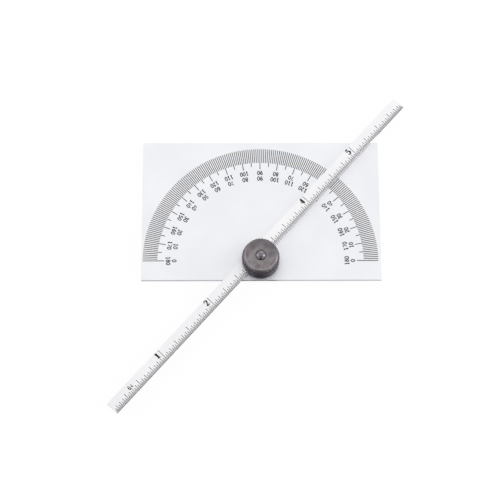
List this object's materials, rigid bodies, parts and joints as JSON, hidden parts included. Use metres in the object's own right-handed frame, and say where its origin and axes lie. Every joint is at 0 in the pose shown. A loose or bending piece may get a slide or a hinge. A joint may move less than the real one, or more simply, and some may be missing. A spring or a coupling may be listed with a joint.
{
  "type": "protractor",
  "caption": "Flat rectangular protractor head with a 0 to 180 degree scale and a graduated steel rule that swivels and slides through a block locked by a knurled nut.",
  "frame": {"origin": "on the pivot axis, at the back face of the clamp stud's head", "axes": "+X along the plate's long edge towards 0 degrees, +Y up the plate towards 90 degrees, +Z out of the graduated face"},
  "size_m": [0.1062, 0.1159, 0.0119],
  "materials": {
    "satin_steel": "satin chrome",
    "black_oxide_steel": "black oxide",
    "spring_steel": "bare spring steel"
  },
  "bodies": {
    "head": {"protractor_plate": "satin_steel"},
    "swivel": {"swivel_block": "black_oxide_steel"},
    "clamp": {"clamp_stud": "black_oxide_steel", "spring_washer": "spring_steel"},
    "nut": {"lock_nut": "black_oxide_steel"},
    "rule": {"rule": "satin_steel"}
  },
  "joints": [
    {"name": "swivel", "type": "hinge", "parent": "head", "child": "swivel", "pos_m": [0, 0, 0], "axis": [0, 0, 1], "continuous": true},
    {"name": "rule_slide", "type": "slide", "parent": "swivel", "child": "rule", "axis": [0.6735, 0.7392, 0], "range_m": [-0.0717, 0.0673]},
    {"name": "nut_turn", "type": "hinge", "parent": "swivel", "child": "nut", "pos_m": [0, 0, 0], "axis": [0, 0, 1], "range_deg": [0, 360]},
    {"name": "stud_travel", "type": "slide", "parent": "swivel", "child": "clamp", "axis": [0, 0, 1], "range_m": [-0.000794, 0]}
  ],
  "couplings": [
    {"joint": "nut_turn", "follows": "stud_travel", "rad_per_m": -7913.3}
  ]
}
